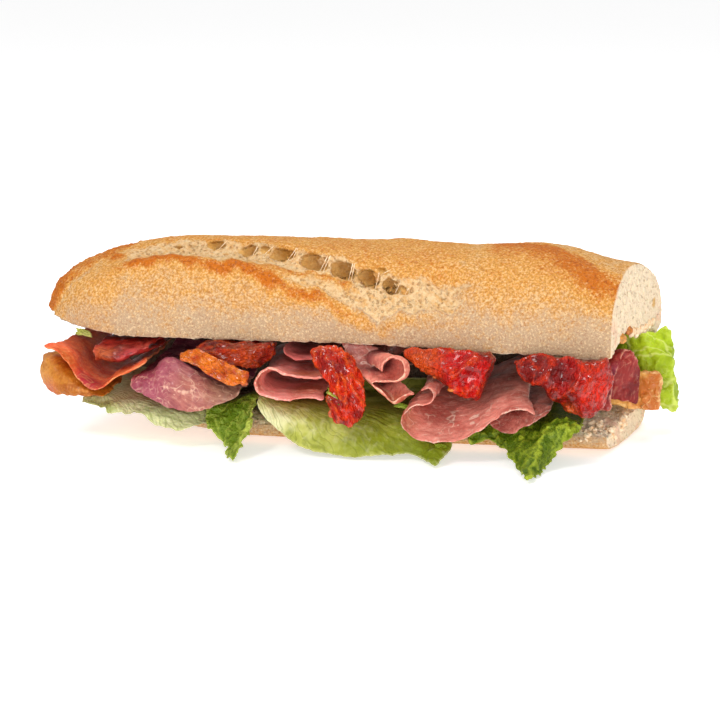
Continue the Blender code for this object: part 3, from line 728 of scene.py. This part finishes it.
def hamMaterial(look):
    s = Shader("curedHam_" + look["node"])
    rim, pit = s.painted("rim"), s.painted("pit")
    loose = s.warped(11, 6)
    colour = s.mix(s.rise(s.noise(13, 3.0, place=loose), 0.42, 0.68), look["lean"], look["deep"])
    colour = s.spots(colour, look, 0.8, loose)
    grain = s.stretched(look["grain"], look.get("turn", (0, 0, 0)), loose)
    fibres = s.noise(0.5, 3.0, 0.65, place=grain)
    colour = s.mix(s.rise(fibres, 0.46, 0.72) * look.get("streak", 0.55), colour, look["deep"])
    colour = s.mix(s.rise(fibres, 0.48, 0.28) * 0.3, colour, look["fat"])
    branches = s.lines(12, 0.016, s.warped(6, 5)) * s.rise(s.noise(9, 2.0), 0.44, 0.58)
    threads = s.lines(5, 0.02, loose) * s.rise(s.noise(7, 2.0), 0.5, 0.62) * 0.6
    veins = s.maths("MAXIMUM", branches, threads) * look["marble"]
    colour = s.mix(veins, colour, look["fat"])
    flecks = 1 - s.rise(s.cells(3.2, place=s.warped(3, 2)), 0.06, 0.14)
    colour = s.mix(flecks * 0.4, colour, look["fat"])
    edge = 1 - s.rise(rim + (s.noise(4, 3.0) - 0.5) * 2.2, look["rim"] * 0.2, look["rim"])
    colour = s.mix(edge * 0.7, colour, look["fat"])
    # painted shade in the hollows of the slice
    colour = s.mix(s.rise(pit, 0.15, 1.1) * 0.6, colour, look["deep"], "MULTIPLY")
    height = fibres * 0.5 + s.noise(2.2, 3.0) * 0.7 + veins * 0.3
    return s.finish({
        "Base Color": colour,
        "Roughness": 0.34 + s.noise(3, 3.0) * 0.25,
        "Normal": s.bump(height, 0.55),
        "Coat Weight": s.rise(s.noise(7, 2.0), 0.4, 0.62) * look.get("gloss", 0.2),
        "Coat Roughness": 0.18,
        "Specular IOR Level": min(0.25, look.get("gloss", 0.25) * 2),
        "Subsurface Weight": 0.1,
        "Subsurface Radius": (1.0, 0.35, 0.25),
        "Subsurface Scale": 1.0 * mm,
    })


def dressHam(look):
    name = look["node"].replace("ham_", "slice_")
    piece, away = sheetPiece(look["node"], name, "ham")
    thin(piece, hamShape["thin"] - look.get("grow", 0))
    if look.get("lift"):
        heights = points(piece)[:, 2]
        carve(piece, "lift", ease(heights.mean(), heights.max(), heights), -look["lift"], "Z")
    weigh(piece, "rim", 1 - ease(0, hamShape["rimWidth"], away))
    wave(piece, *look["waves"])
    wave(piece, *hamShape["fine"])
    wave(piece, *hamShape["rimWave"], "rim")
    paint(piece, "pit", hollows(piece, 20))
    keep(piece, look["node"], hamMaterial(look))


for look in hamPieces:
    dressHam(look)
print("ham dressed")


leafShape = {"thin": 0.15, "lowest": 0.15, "fine": (1.7, 0.8), "rimWidth": 6, "outside": (24, 40)}

# for each leaf its stem, colours, spread of its veins, reach of its pale part, its crinkles and frills by
# size and depth, and its net of blisters by size and strength
leafPieces = [
    {"node": "leaf_left", "stem": (-96, -20),
     "pale": rgb(224, 222, 172), "mid": rgb(182, 188, 96), "deep": rgb(122, 138, 40),
     "vein": rgb(132, 146, 66), "veinStrength": 0.5, "fan": 14, "cell": 13, "paleTo": 60,
     "crinkles": (7, 2), "frills": (5, 2.8), "net": (2.2, 0.2), "lightRim": 0.4,
     "spots": [((-90, -43, 14), 7, 5, rgb(140, 162, 44)), ((-50, -46, 12), 8, 6, rgb(222, 220, 172))]},
    {"node": "leaf_frill", "stem": (-30, -10),
     "pale": rgb(196, 206, 92), "mid": rgb(156, 170, 44), "deep": rgb(96, 118, 20),
     "vein": rgb(190, 202, 86), "veinStrength": 0.3, "fan": 5, "cell": 9, "paleTo": 6,
     "crinkles": (2.5, 2), "frills": (4, 2.8), "net": (1.2, 0.35), "lightRim": 0.6,
     "spots": [((-36, -42, 16), 6, 4, rgb(84, 110, 20))]},
    {"node": "leaf_middle", "stem": (-62, -14),
     "pale": rgb(226, 222, 176), "mid": rgb(190, 190, 96), "deep": rgb(132, 140, 36),
     "vein": rgb(108, 116, 36), "veinStrength": 0.55, "fan": 34, "cell": 22, "paleTo": 50,
     "crinkles": (10, 1.2), "frills": (6, 1.2), "net": (2.2, 0.1), "lightRim": 0.5,
     "spots": [((34, -50, 6), 12, 8, rgb(116, 132, 28)), ((-26, -42, 12), 6, 4, rgb(224, 222, 180))]},
    {"node": "leaf_right", "stem": (66, 10),
     "pale": rgb(178, 192, 56), "mid": rgb(126, 142, 14), "deep": rgb(74, 96, 4),
     "vein": rgb(170, 184, 54), "veinStrength": 0.25, "fan": 6, "cell": 12, "paleTo": 12,
     "crinkles": (2.5, 2), "frills": (4, 2.8), "net": (1.2, 0.35), "lightRim": 0.6},
    # this one stands upright, at a place along the loaf
    {"node": "leaf_end", "stem": (2, 46), "upright": 108,
     "pale": rgb(218, 234, 100), "mid": rgb(188, 214, 44), "deep": rgb(146, 168, 26),
     "vein": rgb(238, 242, 150), "veinStrength": 0.4, "fan": 4, "cell": 12, "paleTo": 14,
     "crinkles": (4.5, 3), "frills": (4, 2.6), "net": (1.8, 0.15), "lightRim": 0.35,
     "spots": [((112, 12, 12), 5, 4, rgb(170, 192, 34))]},
]


def leafMaterial(look):
    s = Shader("lettuce_" + look["node"])
    rim, pit = s.painted("rim"), s.painted("pit")
    loose = s.warped(10, 5)
    x, y, z = (s.add("SeparateXYZ", {}, {0: loose}, out) for out in range(3))
    if look.get("upright"):
        x, y, z = y, z, x - look["upright"]
    dx, dy = x - look["stem"][0], y - look["stem"][1]
    reach = s.maths("SQRT", dx * dx + dy * dy + z * z * 0.5)
    angle = s.maths("ARCTAN2", dy, dx)
    fanPlace = s.add("CombineXYZ", {}, {0: angle * look["fan"], 1: reach / look["cell"], 2: z * 0.02})
    ribs = s.cells(1, "DISTANCE_TO_EDGE", fanPlace)
    vein = 1 - s.rise(ribs, 0.0, 0.08)
    netSize, netStrength = look["net"]
    blisters = s.cells(netSize, "DISTANCE_TO_EDGE", s.warped(2.5, 2))
    net = (1 - s.rise(blisters, 0.0, 0.12)) * s.rise(s.noise(6, 2.0), 0.42, 0.6)
    along = reach / look["paleTo"] + (s.noise(14, 3.0) - 0.5) * 0.9
    colour = s.mix(s.rise(along, 0.35, 1.05), look["pale"], look["mid"])
    colour = s.mix(s.rise(s.noise(8, 4.0, 0.6) * 0.7 + along * 0.3, 0.5, 0.95), colour, look["deep"])
    colour = s.spots(colour, look, 0.7, loose)
    colour = s.mix(s.rise(ribs, 0.05, 0.4) * 0.2, colour, look["deep"])
    colour = s.mix(net * netStrength, colour, look["vein"])
    colour = s.mix(vein * look["veinStrength"], colour, look["vein"])
    edge = 1 - s.rise(rim + (s.noise(3, 2.0) - 0.5) * 1.2, 0.2, 1.4)
    colour = s.mix(edge * look["lightRim"], colour, look["pale"])
    # painted shade in the hollows of the crinkles, painted highlight on their ridges
    colour = s.mix(s.rise(pit, 0.1, 0.9) * 0.4, colour, look["deep"], "MULTIPLY")
    colour = s.mix(s.rise(pit, -0.1, -0.7) * 0.4, colour, look["pale"])
    height = s.rise(ribs, 0.0, 0.4) * 0.3 + s.rise(blisters, 0.0, 0.4) * netStrength + s.noise(1.4, 3.0) * 0.4
    return s.finish({
        "Base Color": colour,
        "Roughness": 0.42 + s.noise(3, 2.0) * 0.2,
        "Normal": s.bump(height, 0.6),
        "Coat Weight": s.rise(s.noise(5, 2.0), 0.42, 0.6) * 0.08,
        "Coat Roughness": 0.25,
        "Specular IOR Level": 0.2,
        "Subsurface Weight": 0.12,
        "Subsurface Radius": (0.8, 1.0, 0.2),
        "Subsurface Scale": 1.0 * mm,
    })


def dressLeaf(look):
    name = look["node"].replace("leaf_", "lettuce_")
    piece, away = sheetPiece(look["node"], name, "leaf")
    thin(piece, leafShape["thin"])
    # the crinkles are slight where the bread holds the leaf
    outside = ease(*leafShape["outside"], -points(piece)[:, 1])
    if look.get("upright"):
        outside = np.ones(len(away))
    weigh(piece, "frill", (1 - ease(0, leafShape["rimWidth"], away)) * outside)
    weigh(piece, "open", 0.25 + 0.75 * outside)
    wave(piece, *look["crinkles"], "open", 1)
    wave(piece, *leafShape["fine"], "open")
    wave(piece, *look["frills"], "frill", 1)
    place = points(piece)
    place[:, 2] = np.maximum(place[:, 2], leafShape["lowest"])
    piece.data.vertices.foreach_set("co", (place * mm).ravel())
    paint(piece, "pit", hollows(piece, 14))
    keep(piece, look["node"], leafMaterial(look))


for look in leafPieces:
    dressLeaf(look)
print("lettuce dressed")


# Dried tomatoes

tomatoShape = {"swell": 0.3, "fine": 2.6, "fineShare": 0.25}

# each tomato's colours, its folds with the way they are drawn out and lean, and its coloured spots
# the light colour is paler flesh in patches, and also the painted highlight on the ridges
tomatoPieces = [
    {"node": "tomato_orange", "flesh": rgb(156, 32, 6), "deep": rgb(84, 6, 2), "light": rgb(206, 80, 12),
     "wrinkle": 1.3, "size": 4.5, "drawn": (4, 2, 1.4), "lean": 0,
     "spots": [((-36, -44, 34), 6, 4, rgb(184, 62, 16))]},
    {"node": "tomato_flap", "flesh": rgb(220, 112, 24), "deep": rgb(168, 56, 8), "light": rgb(242, 156, 62),
     "wrinkle": 0.7, "size": 4, "drawn": (4, 2, 1.4), "lean": 30},
    {"node": "tomato_centre", "flesh": rgb(214, 46, 10), "deep": rgb(138, 16, 4), "light": rgb(238, 98, 26),
     "wrinkle": 1.4, "size": 4.5, "drawn": (1.4, 2, 4), "lean": -25,
     "spots": [((-15, -50, 34), 6, 4, rgb(214, 76, 22)), ((-7, -52, 16), 2, 1.5, rgb(214, 110, 62))]},
    {"node": "tomato_mid_right", "flesh": rgb(192, 14, 5), "deep": rgb(112, 5, 3), "light": rgb(228, 80, 14),
     "wrinkle": 1.6, "size": 9, "drawn": (1.6, 2, 3), "lean": 30,
     "spots": [((28, -44, 34), 7, 5, rgb(208, 84, 32)), ((36, -46, 22), 2.5, 1.5, rgb(226, 160, 60))]},
    {"node": "tomato_right", "flesh": rgb(154, 14, 7), "deep": rgb(84, 4, 3), "light": rgb(222, 58, 14),
     "wrinkle": 1.8, "size": 10, "drawn": (1.6, 2, 4), "lean": 20,
     "spots": [((64, -42, 30), 11, 6, rgb(116, 26, 20)), ((90, -42, 28), 7, 5, rgb(222, 44, 24)),
               ((80, -44, 17), 4, 3, rgb(212, 92, 40))]},
]


def tomatoMaterial(look):
    s = Shader("driedTomato_" + look["node"])
    pit = s.painted("pit")
    loose = s.warped(6, 4)
    colour = s.mix(s.rise(s.noise(7, 3.0, place=loose), 0.42, 0.66), look["flesh"], look["deep"])
    colour = s.spots(colour, look, 0.85, loose)
    colour = s.mix(s.rise(s.noise(5, 3.0, 0.6, place=loose), 0.54, 0.72) * 0.55, colour, look["light"])
    drawn = s.stretched(look["drawn"], (0, look["lean"], 0), loose)
    folds = s.maths("ABSOLUTE", s.noise(1.0, 2.0, 0.5, place=drawn) - 0.5)
    # painted shade in the hollows and along the fold creases, painted highlight on the ridges
    colour = s.mix(s.rise(pit, 0.04, 0.5) * 0.6, colour, look["deep"])
    colour = s.mix(s.rise(pit, -0.15, -0.7) * 0.5, colour, look["light"])
    colour = s.mix((1 - s.rise(folds, 0.0, 0.04)) * 0.65, colour, look["deep"])
    creases = s.maths("ABSOLUTE", s.noise(2.4, 1.0, place=loose) - 0.5)
    height = s.rise(folds, 0.0, 0.16) * 1.2 + s.rise(creases, 0.0, 0.14) * 0.5
    return s.finish({
        "Base Color": colour,
        "Roughness": 0.28 + s.noise(2.5, 2.0) * 0.2,
        "Normal": s.bump(height, 0.5),
        "Coat Weight": s.rise(s.noise(2.2, 2.0), 0.46, 0.58) * 0.8,
        "Coat Roughness": 0.09,
        "Specular IOR Level": 0.2,
        "Subsurface Weight": 0.08,
        "Subsurface Radius": (1.0, 0.2, 0.1),
        "Subsurface Scale": 0.8 * mm,
    })


def wrinkle(piece, look):
    # folds drawn out one way, by a texture read through a stretched empty
    bpy.ops.object.empty_add(rotation=(0, math.radians(look["lean"]), 0))
    guide = bpy.context.object
    guide.scale = [size / 2 for size in look["drawn"]]
    bpy.context.view_layer.update()
    folds = {"musgrave_type": "RIDGED_MULTIFRACTAL", "octaves": 3.0, "noise_intensity": 0.8}
    push(piece, look["size"], look["wrinkle"], kind="MUSGRAVE", middle=0.8, guide=guide, **folds)
    bpy.data.objects.remove(guide)


def dressTomato(look):
    piece = copyNode(look["node"], "dried_" + look["node"])
    makeFine(piece, "tomato")
    wrinkle(piece, look)
    push(piece, tomatoShape["fine"], look["wrinkle"] * tomatoShape["fineShare"], noise_depth=1)
    thin(piece, -tomatoShape["swell"])
    paint(piece, "pit", hollows(piece, 16))
    keep(piece, look["node"], tomatoMaterial(look))


for look in tomatoPieces:
    dressTomato(look)
print("tomatoes dressed")


# Small loose things

def placeCopy(model, name, place, turn, sizes, material):
    # its own mesh, with the place, turn and sizes worked into it
    piece = model.copy()
    piece.data = model.data.copy()
    piece.name = name
    bpy.context.scene.collection.objects.link(piece)
    piece.location = Vector(place) * mm
    piece.rotation_euler = turn
    piece.scale = sizes
    only(piece)
    bpy.ops.object.transform_apply(location=True, rotation=True, scale=True)
    keep(piece, None, material)


def randomTurn():
    return [random.uniform(0, 2 * math.pi) for axis in range(3)]


def nearest(piece, place):
    found, spot, normal, face = piece.closest_point_on_mesh(Vector(place) * mm)
    return spot / mm, normal


def lumpModel(size, depth, detail):
    # a rough ball of 1 mm radius, to be copied
    bpy.ops.mesh.primitive_ico_sphere_add(subdivisions=4, radius=1 * mm)
    model = bpy.context.object
    bpy.ops.object.shade_smooth()
    push(model, size, depth, noise_depth=detail)
    return model


crumbs = {
    "rough": (1.1, 1.2, 3),
    "sizes": (0.5, 1.3),  # least and most
    "lowest": 4.5,
    "standOut": 0.2,
    # on the bottom half: middle of each cluster, spread, count
    "clusters": (((90, -21, 9), 6, 22), ((100, -10, 8), 4, 8), ((86, -28, 7), 4, 9)),
    # hanging at the lower edge of the cut end
    "teeth": ((103, -2, 40), (104, 4, 41), (105, 9, 41), (106, 14, 41), (102, -7, 39), (107, 19, 41)),
    "toothSizes": ((0.8, 1.3), (0.9, 1.5), (1.2, 2.2)),
    "toothDrop": 0.8,
    "pale": rgb(252, 228, 194),
    "shade": rgb(232, 188, 140),
}


def crumbMaterial():
    s = Shader("crumbBits")
    colour = s.mix(s.rise(s.noise(1.2, 3.0), 0.4, 0.65), crumbs["pale"], crumbs["shade"])
    return s.finish({
        "Base Color": colour,
        "Roughness": 0.9,
        "Specular IOR Level": 0.2,
        "Normal": s.bump(s.noise(0.5, 3.0), 0.3),
    })


def makeCrumbs():
    model = lumpModel(*crumbs["rough"])
    material = crumbMaterial()
    for middle, spread, count in crumbs["clusters"]:
        for i in range(count):
            aim = Vector(middle) + Vector([random.gauss(0, spread / 2) for axis in range(3)])
            spot, normal = nearest(loafBase, aim)
            spot.z = max(spot.z, crumbs["lowest"])
            spot += normal * crumbs["standOut"]
            sizes = [random.uniform(*crumbs["sizes"]) for axis in range(3)]
            placeCopy(model, "crumb", spot, randomTurn(), sizes, material)
    for place in crumbs["teeth"]:
        spot, normal = nearest(loafTop, place)
        spot.z -= crumbs["toothDrop"]
        sizes = [random.uniform(*limits) for limits in crumbs["toothSizes"]]
        placeCopy(model, "tooth", spot, (0, 0, random.uniform(0, 6)), sizes, material)
    bpy.data.objects.remove(model)


threads = {
    "radius": 0.13,
    "wander": (0.3, 0.3),  # size and depth
    "slant": (0.4, 1.6),  # how far the ends lie to each side, least and most
    "longBubble": 8,
    # places as shares of a bubble's length from its middle
    "inLong": (0.36, 0.46),
    "inShort": (0.4,),
    "upAndDown": 0.45,  # share of a bubble's height
    "above": 0.1,
}


def threadModel():
    # 1 mm long, to be copied
    bpy.ops.mesh.primitive_cylinder_add(vertices=8, radius=threads["radius"] * mm, depth=1.0 * mm)
    model = bpy.context.object
    bpy.ops.object.mode_set(mode="EDIT")
    bpy.ops.mesh.select_all(action="SELECT")
    bpy.ops.mesh.subdivide(number_cuts=4)
    bpy.ops.object.mode_set(mode="OBJECT")
    bpy.ops.object.shade_smooth()
    wave(model, *threads["wander"])
    return model


def onCrust(x, angle):
    # just above the top half's crust, at a place along it and an angle up from its front edge
    outward = Vector((0, -math.cos(math.radians(angle)), math.sin(math.radians(angle))))
    start = Vector((x, 0, bread["edgeHeight"])) + outward * 60
    return loafTop.ray_cast(start * mm, -outward)[1] / mm + outward * threads["above"]


def makeThreads():
    # strands of crumb left across the torn bubbles
    model = threadModel()
    material = crumbMaterial()
    for centre, turn, length, height in bread["bubbles"]:
        halfAngle = threads["upAndDown"] * height / bread["degreeWidth"]
        for share in threads["inLong" if length > threads["longBubble"] else "inShort"]:
            slant = random.uniform(*threads["slant"])
            ends = []
            for side in (-1, 1):
                x = centre + share * length + side * slant
                ends.append(onCrust(x, turn + halfAngle * side - bread["bubbleLean"] * (x - centre)))
            along = ends[1] - ends[0]
            turnTo = along.to_track_quat("Z", "Y").to_euler()
            sizes = (1, 1, along.length)
            placeCopy(model, "thread", (ends[0] + ends[1]) / 2, turnTo, sizes, material)
    bpy.data.objects.remove(model)


shredShape = {"columns": 28, "rows": 20, "wave": (0.35, 0.5), "thickness": 0.1, "rim": 3.0}

# place, turn each way, length and width, and the material it shares with a leaf or slice
shreds = [
    ((6, -27, 31.2), (80, 8, 8), (17, 9.5), "curedHam_ham_fan"),
    ((-1, -50.5, 24), (20, 30, 10), (6, 3.0), "lettuce_leaf_middle"),
    ((1, -50.5, 22), (60, -20, 40), (4, 2.4), "lettuce_leaf_frill"),
    ((22, -46.5, 20), (70, 10, 0), (5, 1.6), "lettuce_leaf_frill"),
    ((36, -47, 5.5), (80, 0, 20), (4, 2.4), "lettuce_leaf_middle"),
    ((-98.5, -26, 38.4), (70, 10, 10), (5, 2.2), "lettuce_leaf_middle"),
]


def makeShreds():
    columns, rows = shredShape["columns"], shredShape["rows"]
    bpy.ops.mesh.primitive_grid_add(x_subdivisions=columns, y_subdivisions=rows, size=1 * mm)
    model = bpy.context.object
    wave(model, *shredShape["wave"])
    shape(model, "SOLIDIFY", thickness=shredShape["thickness"] * mm)
    paint(model, "rim", np.full(len(model.data.vertices), shredShape["rim"]))
    paint(model, "pit", np.zeros(len(model.data.vertices)))
    for place, turn, (length, width), name in shreds:
        angles = [math.radians(t) for t in turn]
        placeCopy(model, "shred", place, angles, (length, width, 3), bpy.data.materials[name])
    bpy.data.objects.remove(model)


bitShape = {"rough": (0.9, 0.5, 2), "sunk": 0.5, "shade": 0.55}

# tomato seeds, and bits of ham stuck to the cut end: radius each way from side to side, deep and high
bits = [
    {"name": "seed", "on": "dried_tomato_mid_right", "place": (36, -46, 22), "sizes": (1.2, 0.9, 0.8),
     "tint": rgb(208, 120, 44)},
    {"name": "seed", "on": "dried_tomato_mid_right", "place": (30, -46, 24), "sizes": (1.0, 0.9, 0.8),
     "tint": rgb(198, 96, 34)},
    {"name": "seed", "on": "dried_tomato_centre", "place": (-7, -52, 16), "sizes": (1.2, 0.7, 1.5),
     "tint": rgb(204, 96, 56)},
    {"name": "seed", "on": "dried_tomato_right", "place": (80, -46, 17), "sizes": (1.4, 0.7, 1.0),
     "tint": rgb(206, 96, 46)},
    {"name": "seed", "on": "dried_tomato_flap", "place": (-32, -48, 24), "sizes": (1.3, 0.7, 1.1),
     "tint": rgb(190, 84, 26)},
    {"name": "hamBit", "on": "loaf_top", "place": (98, -20, 41), "sizes": (2.8, 2.0, 1.3),
     "tint": rgb(220, 146, 58)},
    {"name": "hamBit", "on": "loaf_top", "place": (101, -12, 41), "sizes": (2.2, 2.0, 1.2),
     "tint": rgb(206, 124, 52)},
]


def bitMaterial(name, tint):
    s = Shader(name)
    shade = tuple(part * bitShape["shade"] for part in tint[:3]) + (1.0,)
    colour = s.mix(s.rise(s.noise(1.2, 3.0), 0.4, 0.65), tint, shade)
    return s.finish({"Base Color": colour, "Roughness": 0.35, "Normal": s.bump(s.noise(0.8, 3.0), 0.3)})


def makeBits():
    model = lumpModel(*bitShape["rough"])
    for i, bit in enumerate(bits):
        material = bitMaterial("bit_" + str(i), bit["tint"])
        spot, normal = nearest(bpy.data.objects[bit["on"]], bit["place"])
        spot -= normal * bitShape["sunk"]
        isHam = bit["name"] == "hamBit"
        turn = randomTurn() if isHam else (0, 0, 0)
        placeCopy(model, bit["name"], spot, turn, bit["sizes"], material)
    bpy.data.objects.remove(model)


makeCrumbs()
makeThreads()
makeShreds()
makeBits()
print("small things placed")


# Camera, floor and light

# degrees to the right and up, distance, lens in its own millimetres, and the point it looks at
view = {"turn": 9, "height": 12, "away": 900, "lens": 121.5, "nearest": 50, "target": (0, 0, 26)}


def addCamera():
    turn, height = math.radians(view["turn"]), math.radians(view["height"])
    back = Vector((math.sin(turn) * math.cos(height), -math.cos(turn) * math.cos(height), math.sin(height)))
    camera = bpy.data.objects.new("camera", bpy.data.cameras.new("camera"))
    camera.data.lens = view["lens"]
    camera.data.clip_start = view["nearest"] * mm
    camera.location = Vector(view["target"]) * mm + back * view["away"] * mm
    camera.rotation_euler = (-back).to_track_quat("-Z", "Y").to_euler()
    bpy.context.scene.collection.objects.link(camera)
    bpy.context.scene.camera = camera


# the studio is in metres: lamps by place, size and power
studio = {"floorSize": 60, "floorTint": (0.9, 0.9, 0.9, 1), "floorGlow": 0.5, "white": (1, 1, 1, 1),
          "worldLight": 0.5, "lampAim": (0, 0, 0.02)}
lamps = [
    {"name": "key", "place": (-0.45, -0.75, 0.85), "size": 0.25, "power": 4.2},
    {"name": "fill", "place": (0.2, -1.0, 0.2), "size": 0.4, "power": 4.8},
    {"name": "top", "place": (0.15, 0.25, 1.0), "size": 0.5, "power": 5},
]


def floorMaterial():
    s = Shader("paleFloor")
    return s.finish({
        "Base Color": studio["floorTint"],
        "Roughness": 0.9,
        "Emission Color": studio["white"],
        "Emission Strength": studio["floorGlow"],
    })


def addFloor():
    bpy.ops.object.select_all(action="DESELECT")
    bpy.ops.mesh.primitive_plane_add(size=studio["floorSize"], location=(0, 0, 0))
    floor = bpy.context.object
    floor.name = "floor"
    floor.data.materials.append(floorMaterial())


def addLamps():
    for lamp in lamps:
        light = bpy.data.lights.new(lamp["name"], "AREA")
        light.size = lamp["size"]
        light.energy = lamp["power"]
        holder = bpy.data.objects.new(lamp["name"], light)
        holder.location = lamp["place"]
        towards = Vector(studio["lampAim"]) - Vector(lamp["place"])
        holder.rotation_euler = towards.to_track_quat("-Z", "Y").to_euler()
        bpy.context.scene.collection.objects.link(holder)


def addWorld():
    world = bpy.data.worlds.new("studio")
    world.use_nodes = True
    background = world.node_tree.nodes["Background"].inputs
    background["Color"].default_value = studio["white"]
    background["Strength"].default_value = studio["worldLight"]
    bpy.context.scene.world = world
    bpy.context.scene.view_settings.view_transform = "Standard"


addCamera()
addFloor()
addLamps()
addWorld()
print("camera, floor and light set")
